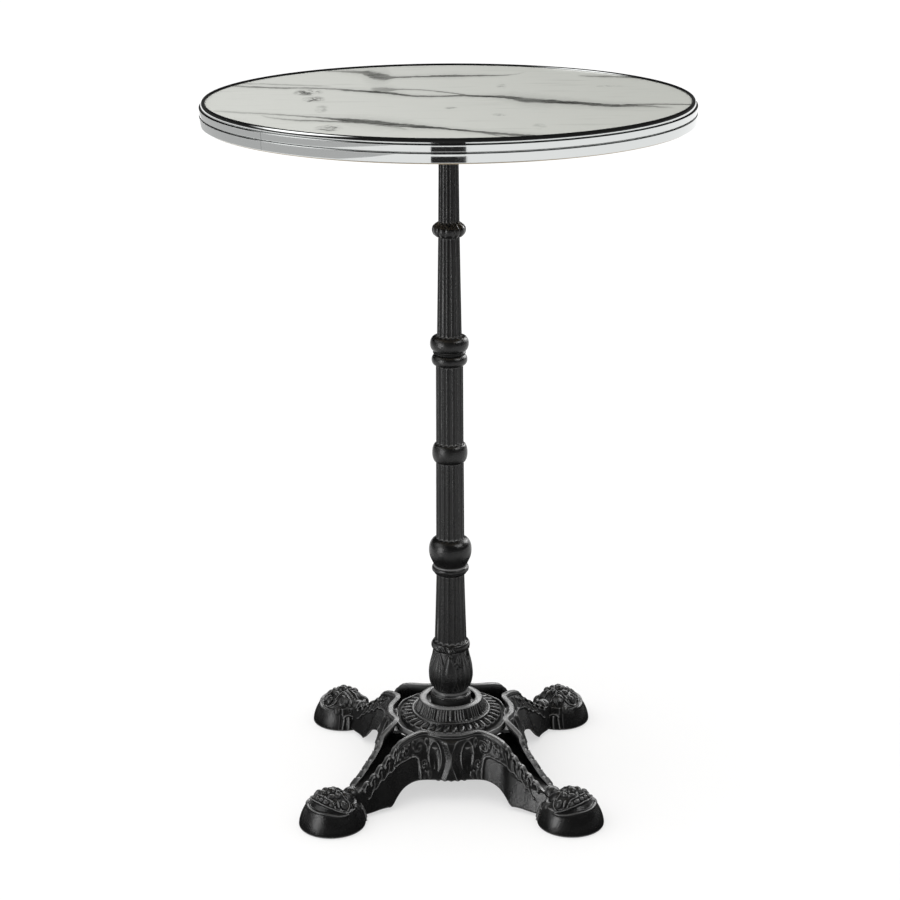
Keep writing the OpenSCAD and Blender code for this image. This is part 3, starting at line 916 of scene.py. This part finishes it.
# Lines on one half of a paw: points as (bearing in degrees from straight out, height), then how far
# the line stands out, or is cut in where that is negative, and its half width
PAW_LINES = [
    ([(0, 34.2), (10, 34.2), (23, 34.1), (37, 33.6), (50, 32.2), (61, 31), (74, 30), (85, 30.5)], 1.5, 2.1),
    ([(0, 44), (10, 43.9), (23, 43.2), (41, 41.3), (50, 40), (61, 37.7), (69, 35.5), (77, 33), (86, 31.8)],
     1.5, 1.3),
    ([(8, 51.8), (22, 51.2), (41, 50), (51, 48), (56, 44.5), (59, 40)], 2.2, 1.4),
    ([(64, 38), (72, 35), (80, 34), (90, 35.2), (101, 38.2), (109, 42), (112, 45.5)], 2.0, 1.3),
    ([(106, 46), (110, 50), (120, 53.5), (136, 55), (152, 53), (161, 48), (164, 42), (168, 37)], 2.2, 1.7),
    ([(136, 51), (140, 44), (142, 38)], 0.9, 2.2),
    ([(139, 21), (137, 12), (134.5, 2)], 2.3, 1.3),
    ([(148.5, 22), (147.5, 12), (146, 2)], 3.0, 2.3),
    ([(157, 22), (156.5, 12), (155, 2)], 2.3, 1.2),
    ([(138, 22), (143, 25), (150, 25.5), (157, 23)], 2.6, 1.6),
    ([(131.5, 33), (132.5, 20), (131, 4)], -2.2, 1.6),
]
# Rounded forms on one half of a paw: (bearing, height, half width, half length up the paw, how far out)
PAW_FORMS = [
    (0, 48.2, 4.4, 3.6, 0.6),
    (25, 47.4, 5.4, 4.0, 0.9),
    (47, 44.8, 4.4, 4.2, 0.8),
    (86, 42.5, 5.8, 7.6, 2.4),
    (69, 44.5, 2.6, 6.6, 1.2),
    (122, 31.5, 7.0, 9.0, 2.2),
    (45, 53.2, 7.0, 4.8, 1.4),
    (88, 52.6, 6.5, 4.8, 1.0),
    (138, 45.5, 10.0, 11.5, 0.4),
    (0, 57.4, 8.5, 8.5, 1.2),
]
# The ankle ball: its middle in the paw's own frame, and half sizes
BALL_AT = np.array([-37.0, 0, 33])
BALL_HALF = np.array([13, 13, 12.5])


def dome_r(z):
    """Radius of the plain hoof at a height."""
    u = np.clip((z - FOOT_Z) / (PAW_H - FOOT_Z), 0, 1)
    return FOOT_R * (1 - u ** 1.7) ** (1 / 1.7)


def on_dome(bearing, z):
    """Places on the plain hoof."""
    r = dome_r(z)
    return np.stack([r * np.cos(np.radians(bearing)), r * np.sin(np.radians(bearing)), z], -1)


def dome_normal(bearing, z):
    """The plain hoof's outward direction."""
    slope = (dome_r(z + 0.05) - dome_r(z - 0.05)) / 0.1
    normal = np.stack([np.cos(np.radians(bearing)), np.sin(np.radians(bearing)), -slope], -1)
    return normal / np.linalg.norm(normal, axis=-1, keepdims=True)


def path_distance(points, path):
    """Distance of each point from a polyline in space."""
    best = np.full(len(points), 1e9)
    for p, q in zip(path[:-1], path[1:]):
        d = q - p
        t = np.clip((points - p) @ d / (d @ d), 0, 1)
        best = np.minimum(best, np.linalg.norm(points - p - t[:, None] * d, axis=1))
    return best


def form_rise(points, bearing, z, across, along):
    """A rounded form's own rise from 0 at its edge to 1 at its middle."""
    centre = on_dome(np.float64(bearing), np.float64(z))
    normal = dome_normal(np.float64(bearing), np.float64(z))
    side = np.array([-math.sin(math.radians(bearing)), math.cos(math.radians(bearing)), 0])
    up = np.cross(normal, side)
    off = points - centre
    share = (off @ side / across) ** 2 + (off @ up / along) ** 2
    return np.where(off @ normal > -9, np.clip(1 - share, 0, 1) ** 0.6, 0)


def paw_shell():
    """Points of a paw in its own frame: x straight out along the diagonal, z up from the floor."""
    columns = 288
    rows = 140
    bearing = np.linspace(-180, 180, columns, endpoint=False)
    levels = PAW_H - (PAW_H - 4) * np.linspace(0.0, 1, rows) ** 1.35
    levels[0] = PAW_H - 0.02
    b, z = (grid.ravel() for grid in np.meshgrid(bearing, levels, indexing="ij"))
    base = on_dome(b, z)
    normal = dome_normal(b, z)
    away = np.abs(b)
    # the forms stand on a floor that lies below the hoof's own surface
    floor_from = np.interp(away, [0, 27, 50, 70, 84, 110, 131, 180], [45.5, 44, 41, 36, 33, 33, 35, 36])
    relief = -3.0 * smooth_step(-0.8, 1.4, z - floor_from)
    for form_bearing, form_z, across, along, out in PAW_FORMS:
        for hand in (1, -1):
            rise = form_rise(base, form_bearing * hand, form_z, across, along)
            relief = np.where(rise > 0, np.maximum(relief, (out + 3.0) * rise - 3.0), relief)
    # hollow band between the cuff and the ridge above it
    cuff_z = np.interp(away, [0, 37, 61, 84], [34.5, 35, 32, 31])
    ridge_z = np.interp(away, [0, 27, 50, 70, 84], [45, 43.5, 40.5, 35.5, 32])
    gap = np.maximum(ridge_z - cuff_z, 0.5)
    share = (z - cuff_z) / gap
    band = smooth_step(92, 80, away) * smooth_step(0.0, 0.25, share) * smooth_step(1.05, 0.85, share)
    relief -= 3.4 * band * np.clip(gap / 6, 0, 1)
    raised = np.zeros(len(base))
    cut = np.zeros(len(base))
    for path, out, half in PAW_LINES:
        for hand in (1, -1):
            line = np.array([(x * hand, y) for x, y in spline(path, 5 * len(path))])
            line = out * np.exp(-(path_distance(base, on_dome(line[:, 0], line[:, 1])) / half) ** 2)
            raised = np.maximum(raised, line)
            cut = np.minimum(cut, line)
    relief += raised + cut
    points = base + normal * relief[:, None]
    # the ankle ball swallows what lies inside it, and carries one raised line of its own
    start = np.array([0, 0, 4.0])
    ray = points - start
    plain = np.linalg.norm(ray, axis=1)
    ray /= plain[:, None]
    # how far each ray from under the hoof runs before it leaves the ball, a quadratic equation
    aim = ray / BALL_HALF
    off = (start - BALL_AT) / BALL_HALF
    half_b, square = (aim * off).sum(1), (aim ** 2).sum(1)
    inside = half_b ** 2 - square * (off @ off - 1)
    reach = (-half_b + np.sqrt(np.clip(inside, 0, None))) / square
    on_ball = (inside > 0) & (reach > plain)
    points = np.where(on_ball[:, None], start + ray * reach[:, None], points)
    line = np.exp(-((points[:, 0] - BALL_AT[0] + 5.5) / 1.4) ** 2)
    points += ray * np.where(on_ball, 1.4 * line, 0)[:, None]
    return points.reshape(columns, rows, 3)


def paw(index, side_x, side_y, shell):
    """A paw with its hollow underside."""
    heading = math.degrees(math.atan2(side_y, side_x))
    columns = len(shell)
    # round under the foot's edge, up into the hollow and down again to the boss that holds the stud
    foot = [(dome_r(3.0), 3.0), (dome_r(1.6) - 0.3, 1.6), (FOOT_R - 2.2, FOOT_Z), (39, FOOT_Z)]
    foot += [(36, FOOT_Z + 1.5), (36, 18), (33, 21.5), (12.5, 22), (11, 21), (11, 9.6), (10.4, 9), (4.2, 9)]
    foot += [(4.2, 40)]
    b = np.radians(np.linspace(-180, 180, columns, endpoint=False))
    under = np.array([[(r * math.cos(x), r * math.sin(x), z) for r, z in foot] for x in b])
    skin = np.concatenate([shell, under], axis=1)
    m = skin.shape[1]
    points = turn_about_z(skin.reshape(-1, 3), heading)
    points += np.array([side_x * FOOT_XY, side_y * FOOT_XY, 0])
    faces = grid_faces(columns, m, close_rows=True)
    faces.append(tuple(i * m for i in range(columns))[::-1])
    faces.append(tuple(i * m + m - 1 for i in range(columns)))
    return make_object(f"base_paw_{index}", points, faces, IRON, sharp_deg=60)


def base():
    pieces = [hub()]
    shell = paw_shell()
    for index in range(4):
        pieces.append(curved_plate(index))
        pieces.append(leg_web(index))
    for index, (side_x, side_y) in enumerate(((-1, -1), (1, -1), (1, 1), (-1, 1))):
        pieces.append(paw(index, side_x, side_y, shell))
    for piece in pieces:
        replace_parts(piece, "base_casting")


base()

# ---------- hardware ----------


def thread(low, high, radius, pitch, depth, per_turn=8):
    """Outline points up a threaded shank and the radius function that cuts its helix."""
    rows = int((high - low) / pitch * per_turn)
    z_rows = np.linspace(low, high, rows + 1)

    def shape(a, r, z):
        wave = (z / pitch - a / (2 * math.pi)) % 1
        groove = depth * (1 - np.abs(2 * wave - 1))
        end = np.minimum(z - low, high - z)
        inside = (end > -0.01) & (r > radius * 0.9)
        return r - np.where(inside, groove + np.clip(0.7 - end, 0, 0.7), 0)
    return [(radius, z) for z in z_rows], shape


def hexagon(across_flats, low, high):
    """A radius function for a hexagon with chamfered corners."""
    def shape(a, r, z):
        folded = (a + math.pi / 6) % (math.pi / 3) - math.pi / 6
        flat = across_flats / 2 / np.cos(folded)
        from_end = np.minimum(z - low, high - z)
        crown = across_flats / 2 + 1.73 * from_end
        return np.where(r > across_flats * 0.45, np.minimum(flat, crown), r)
    return shape


ROD_R = 6
ROD_PITCH = 1.75
STUD_R = 4
STUD_PITCH = 1.25
NUT_FLATS = 18
# Distance of the wood screws from the table's middle, along each arm of the cross
SCREW_OUT = (75, 130)


def nut(name, node):
    """A hexagon nut with both ends of its bore chamfered."""
    low, high = heights_mm(node)
    levels = [low, low + 0.35, low + 0.75, low + 1.3, high - 1.3, high - 0.75, high - 0.35, high]
    outline = [(NUT_FLATS / 2 + 0.01, z) for z in levels]
    outline += [(ROD_R + 0.7, high), (ROD_R, high - 0.7), (ROD_R, low + 0.7), (ROD_R + 0.7, low)]
    piece = lathe(name, outline, 96, ZINC, hexagon(NUT_FLATS, low, high), sharp_deg=25)
    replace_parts(piece, node)


def washer(name, node):
    """A flat washer with rounded edges."""
    bottom, top = heights_mm(node)
    r = box_mm(node)[1][0]
    outline = [(r - 0.4, bottom), (r, bottom + 0.4), (r, top - 0.6), (r - 0.6, top)]
    outline += [(6.6, top), (6.3, top - 0.3), (6.3, bottom + 0.3), (6.6, bottom)]
    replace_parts(lathe(name, outline, 72, ZINC), node)


def tie_rod():
    """The rod through the column, threaded at both ends."""
    bottom, top = heights_mm("tie_rod")
    threaded = 45
    lower_rows, lower_cut = thread(bottom, bottom + threaded, ROD_R, ROD_PITCH, 0.95)
    upper_rows, upper_cut = thread(top - threaded, top, ROD_R, ROD_PITCH, 0.95)
    plain = [(5.4, bottom + threaded + 1), (5.4, top - threaded - 1)]
    outline = [(0, bottom), (4.4, bottom)] + lower_rows + plain + upper_rows + [(4.4, top), (0, top)]

    def shape(a, r, z):
        return upper_cut(a, lower_cut(a, r, z), z)
    piece = lathe("threaded_tie_rod", outline, 48, ZINC, shape, sharp_deg=60)
    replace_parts(piece, "tie_rod")


def cross_recess(points, head_top):
    """How far a crosshead recess is sunk into a screw's head, which lies below head_top."""
    x, y = np.abs(points[:, 0]), np.abs(points[:, 1])
    slot = smooth_step(0.75, 0.35, np.minimum(x, y)) * smooth_step(2.4, 1.6, np.maximum(x, y))
    return 1.3 * slot * (points[:, 2] < head_top)


def wood_screws():
    """Eight crosshead screws that hold the cross to the board, heads down."""
    head_z, tip_z = heights_mm("top_screws")
    seat_z = heights_mm("top_spider")[1] - 7
    rows, cut = thread(seat_z, tip_z, 2, 1.6, 0.55, per_turn=6)
    outline = [(0, head_z)] + [(0.25 * k, head_z + 0.012 * k * k) for k in range(1, 16)]
    outline += [(4.1, head_z + 1.2), (4.0, seat_z - 0.3), (3.6, seat_z)] + rows + [(0, tip_z)]
    points, faces = turned(outline, 40, cut)
    points[:, 2] += cross_recess(points, head_z + 1.0)
    copies = []
    for arm in range(4):
        for out in SCREW_OUT:
            # each screw stopped at its own angle
            driven = turn_about_z(points, 25 * arm + out)
            place = turn_about_z(np.array([[out, 0, 0]]), 90 * arm)
            copies.append((driven + place, faces))
    piece = make_object("cross_screws", *merged(copies), ZINC, sharp_deg=35)
    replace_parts(piece, "top_screws")


def nails():
    """The band's small round-headed nails, pointing at the table's middle."""
    depths = [(0, 13), (0.6, 11), (0.6, 3.6), (0.9, 3.4), (0.9, 2.0), (0.85, 1.5), (0.5, 1.1), (0, 1.0)]
    points, faces = turned([(r, BAND_R - depth) for r, depth in depths], 24)
    lying = np.stack([points[:, 0], -points[:, 2], points[:, 1] + sum(heights_mm("band_pins")) / 2], -1)
    azimuths = (SEAM_AZ - 2.5, SEAM_AZ + 2.5, 45, 135, 225)
    copies = [(turn_about_z(lying, azimuth), faces) for azimuth in azimuths]
    piece = make_object("band_nails", *merged(copies), ZINC, sharp_deg=40)
    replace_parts(piece, "band_pins")


def spider_arm(index):
    """One arm of the cross under the top: flat against the board, with raised edges and screw pads."""
    tip = box_mm("top_spider")[1][0]
    board_z = heights_mm("top_spider")[1]
    half_width = 14
    across = 29
    s = np.concatenate([np.linspace(18, tip - half_width, 64, endpoint=False),
                        tip - half_width + half_width * np.sin(np.linspace(0, math.pi / 2, 26))])
    past = np.clip(s - tip + half_width, 0, half_width) / half_width
    half = half_width * np.sqrt(np.clip(1 - past ** 2, 0.0004, 1))
    u = np.linspace(-1, 1, across)
    y = half[:, None] * u[None, :]
    x = np.repeat(s[:, None], across, 1)
    edge = np.minimum(half[:, None] - np.abs(y), tip - x)
    raised = smooth_step(4.5, 3.2, edge)
    for out in SCREW_OUT:
        raised = np.maximum(raised, smooth_step(8.2, 6.8, np.hypot(x - out, y)))
    root = np.clip(1 - (x - 24) / 16, 0, 1) ** 2 * np.clip(1 - (y / half_width) ** 2, 0, 1)
    z = board_z - 5.2 - 1.8 * raised - 9 * root + 0.9 * smooth_step(1.2, 0, edge)
    skin = np.stack([x, y, z], -1)
    back = np.stack([x[:, ::-1], y[:, ::-1], np.full_like(z, board_z)], -1)
    ring = np.concatenate([skin, back], axis=1)
    points = turn_about_z(ring.reshape(-1, 3), 90 * index)
    faces = swept_faces(*ring.shape[:2])
    return make_object(f"cross_arm_{index}", points, faces, IRON, sharp_deg=60)


def spider():
    """The cross under the top: a boss that holds the column, and four arms."""
    bottom, top = heights_mm("top_spider")
    outline = [(14.6, bottom), (24.8, bottom), (26, bottom + 1.2), (25.4, top - 12), (26, top - 7)]
    outline += [(30, top - 1.4), (30, top), (15, top), (15, top - 14), (8, top - 14), (8, top - 16)]
    outline += [(14.6, top - 16)]
    pieces = [lathe("cross_boss", outline, 96, IRON)]
    pieces += [spider_arm(index) for index in range(4)]
    for piece in pieces:
        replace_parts(piece, "top_spider")


def glide_pad(place, at):
    """The nylon pad, with a grooved grip round it."""
    high = box_mm(f"glide_pad_{place}")[1]
    r, top = high[0] - at[0], high[2]
    outline = [(0, 0), (r - 1.6, 0)] + arc((r - 1.6, 1.2), 1.2, -85, -5, 5) + [(r, 3.0), (r, top - 1.0)]
    outline += [(r - 0.4, top - 0.3), (r - 1, top), (7.6, top), (7.2, top - 0.4), (7.2, 6.1), (4.2, 6.1)]
    outline += [(0, 6.1)]

    def grip(a, radius, z):
        ribs = 0.45 * (0.5 - 0.5 * np.cos(36 * a))
        return radius - ribs * (radius > r - 0.2) * (z > 2) * (z < top - 0.6)
    pad = lathe(f"nylon_pad_{place}", outline, 144, NYLON, grip, at,
                body=f"pad_{place}")
    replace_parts(pad, f"glide_pad_{place}")


def glide_stud(place, at):
    """The threaded stud, with its round head inside the pad."""
    bottom, top = heights_mm(f"glide_stud_{place}")
    rows, cut = thread(8.6, top, STUD_R, STUD_PITCH, 0.65)
    outline = [(0, bottom), (6, bottom), (6.5, bottom + 0.5), (6.5, 5.6), (6.1, 6.0), (4, 6.0)]
    outline += rows + [(0, top)]
    stud = lathe(f"threaded_stud_{place}", outline, 48, ZINC, cut, at, sharp_deg=60,
                 body=f"stud_{place}")
    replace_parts(stud, f"glide_stud_{place}")


def glides():
    for end, side_y in (("front", -1), ("back", 1)):
        for hand, side_x in (("left", -1), ("right", 1)):
            at = (side_x * FOOT_XY, side_y * FOOT_XY)
            glide_pad(f"{end}_{hand}", at)
            glide_stud(f"{end}_{hand}", at)


dress("band_joint_sleeve", ZINC)
washer("upper_washer", "top_washer")
washer("lower_washer", "bottom_washer")
nut("upper_nut", "top_nut")
nut("lower_nut", "bottom_nut")
tie_rod()
wood_screws()
nails()
spider()
glides()

# ---------- stage, light and camera ----------


def stage_plane(name, corners, material):
    """A four-sided sheet that belongs to the stage and not to the table."""
    mesh = bpy.data.meshes.new(name)
    mesh.from_pydata(corners, [], [(0, 1, 2, 3)])
    piece = bpy.data.objects.new(name, mesh)
    bpy.context.scene.collection.objects.link(piece)
    mesh.materials.append(material)
    return piece


def card(name, corners, material):
    """A card that only mirrors and gloss see."""
    piece = stage_plane(name, corners, material)
    piece.visible_camera = False
    piece.visible_diffuse = False
    piece.visible_shadow = False
    piece.visible_transmission = False


def level(z, *corners):
    """Corners of a flat shape at one height."""
    return [(x, y, z) for x, y in corners]


def glow(name, strength):
    """A material that only shines, evenly."""
    material = bpy.data.materials.new(name)
    material.use_nodes = True
    n = Nodes(material.node_tree)
    n.tree.nodes.clear()
    light = n.add("ShaderNodeEmission")
    light.inputs["Color"].default_value = (1, 1, 1, 1)
    light.inputs["Strength"].default_value = strength
    n.put(n.add("ShaderNodeOutputMaterial").inputs["Surface"], light.outputs[0])
    return material


def floor_paper():
    """Matt white paper. The camera sees about half of it as its own light, so that the table's shadow
    stays faint. From below it can be looked through, so that the table's underside is in view."""
    material = bpy.data.materials.new("floor_paper")
    material.use_nodes = True
    n = Nodes(material.node_tree)
    paper = n.tree.nodes["Principled BSDF"]
    paper.inputs["Base Color"].default_value = (0.93, 0.93, 0.93, 1)
    paper.inputs["Roughness"].default_value = 1.0
    paper.inputs["Specular IOR Level"].default_value = 0.0

    def shared(share, first, second):
        mix = n.add("ShaderNodeMixShader")
        for socket, value in zip(mix.inputs, (share, first, second)):
            n.put(socket, value)
        return mix.outputs[0]

    own_light = n.maths("MULTIPLY", n.add("ShaderNodeLightPath").outputs["Is Camera Ray"], 0.55)
    lit = shared(own_light, paper.outputs[0], n.add("ShaderNodeEmission").outputs[0])
    from_below = n.add("ShaderNodeNewGeometry").outputs["Backfacing"]
    surface = shared(from_below, lit, n.add("ShaderNodeBsdfTransparent").outputs[0])
    n.put(n.tree.nodes["Material Output"].inputs["Surface"], surface)
    return material


def sheen_light(name, place, aim, size, power, takers):
    """A soft light that only the pieces in one collection take, so that the band and the sheet stay
    as they are."""
    data = bpy.data.lights.new(name, "AREA")
    data.shape = "RECTANGLE"
    data.size, data.size_y = size
    data.energy = power
    light = bpy.data.objects.new(name, data)
    bpy.context.scene.collection.objects.link(light)
    light.location = place
    light.rotation_euler = (Vector(aim) - Vector(place)).to_track_quat("-Z", "Y").to_euler()
    light.visible_camera = False
    light.light_linking.receiver_collection = takers


def studio_world():
    """White to the camera. Mirrors and gloss see one softbox in a darker room, and matt surfaces see
    a broad light that is stronger from above and from the left."""
    world = bpy.data.worlds.new("studio")
    bpy.context.scene.world = world
    world.use_nodes = True
    world.cycles.sampling_method = "NONE"
    n = Nodes(world.node_tree)
    n.tree.nodes.clear()
    split = n.add("ShaderNodeSeparateXYZ")
    n.put(split.inputs[0], n.add("ShaderNodeTexCoord").outputs["Generated"])
    east, north, up = split.outputs

    def softbox(azimuth, elevation, inner, outer, strength):
        """A round soft light, full as far as inner and ending at outer. The azimuth is counted from the
        front towards +X. All angles are in degrees."""
        az, el = math.radians(azimuth), math.radians(elevation)
        dot = n.maths("MULTIPLY", east, math.cos(el) * math.sin(az))
        dot = n.maths("ADD", dot, n.maths("MULTIPLY", north, -math.cos(el) * math.cos(az)))
        dot = n.maths("ADD", dot, n.maths("MULTIPLY", up, math.sin(el)))
        return n.ramp(dot, math.cos(math.radians(outer)), math.cos(math.radians(inner)), 0, strength)

    def chosen(share, first, second):
        node = n.add("ShaderNodeMix", data_type="FLOAT")
        n.put(node.inputs["Factor"], share)
        n.put(node.inputs[2], first)
        n.put(node.inputs[3], second)
        return node.outputs[0]

    shine = n.maths("ADD", n.ramp(up, 0.17, 0.26, 0.05, 0.02), softbox(-85, 38, 8, 26, 3.0))
    matt = n.maths("ADD", n.ramp(up, -0.2, 1.0, 0.85, 1.15), softbox(-60, 45, 5, 75, 1.05))
    path = n.add("ShaderNodeLightPath")
    lit = chosen(path.outputs["Is Glossy Ray"], matt, shine)
    strength = chosen(path.outputs["Is Camera Ray"], lit, 1.25)
    back = n.add("ShaderNodeBackground")
    n.put(back.inputs["Strength"], strength)
    n.put(n.add("ShaderNodeOutputWorld").inputs["Surface"], back.outputs[0])


def studio():
    studio_world()
    sheen_light("back_sheen", (0, 3.6, 2.2), (0, 0, 0.1), (3.2, 1.6), 105, BASE_PIECES)
    sheen_light("right_sheen", (1.8, -0.7, 2.5), (0, 0, 0.5), (1.0, 1.0), 36, IRON_PIECES)
    sheen_light("rim_sheen", (1.9, 2.2, 1.7), (0, 0, 0.7), (1.6, 1.4), 60, IRON_PIECES)
    sheen_light("left_sheen", (-2.1, -1.5, 0.8), (0, 0, 0.7), (0.5, 1.8), 44, IRON_PIECES)
    stage_plane("floor", level(0, (-30, -30), (30, -30), (30, 30), (-30, 30)), floor_paper())
    dark = glow("dark_card", 0.03)
    # painted shade: a dark sheet on the floor under the base, seen only in reflections, darkens the floor
    # that the iron mirrors there
    card("shade_card_under_base", level(0.0015, (-0.5, -0.5), (0.5, -0.5), (0.5, 0.7), (-0.5, 0.7)), dark)
    card("card_at_left", level(0.002, (-9, -6), (-2.2, -6), (-2.2, 8), (-9, 8)), glow("grey_card", 0.6))
    card("card_on_floor", level(0.002, (-0.21, -1.6), (0.21, -1.6), (0.6, -4.6), (-0.6, -4.6)), dark)
    upright = [(-0.75, -5.8, 0), (0.75, -5.8, 0), (0.75, -5.8, 3.2), (-0.75, -5.8, 3.2)]
    card("card_behind_camera", upright, dark)
    bpy.context.scene.view_settings.view_transform = "Standard"


def camera():
    """The photograph's own view, solved from the top's rim, the ring of the base and the feet."""
    data = bpy.data.cameras.new("camera")
    data.sensor_width = 36
    data.lens = 81.75
    eye = bpy.data.objects.new("camera", data)
    bpy.context.scene.collection.objects.link(eye)
    pitch = math.radians(18.37)
    roll = math.radians(-0.25)
    eye.matrix_world = (Matrix.Translation((0.0002, -2.888, 1.4845))
                        @ Matrix.Rotation(math.pi / 2 - pitch, 4, "X") @ Matrix.Rotation(roll, 4, "Z"))
    bpy.context.scene.camera = eye


studio()
camera()
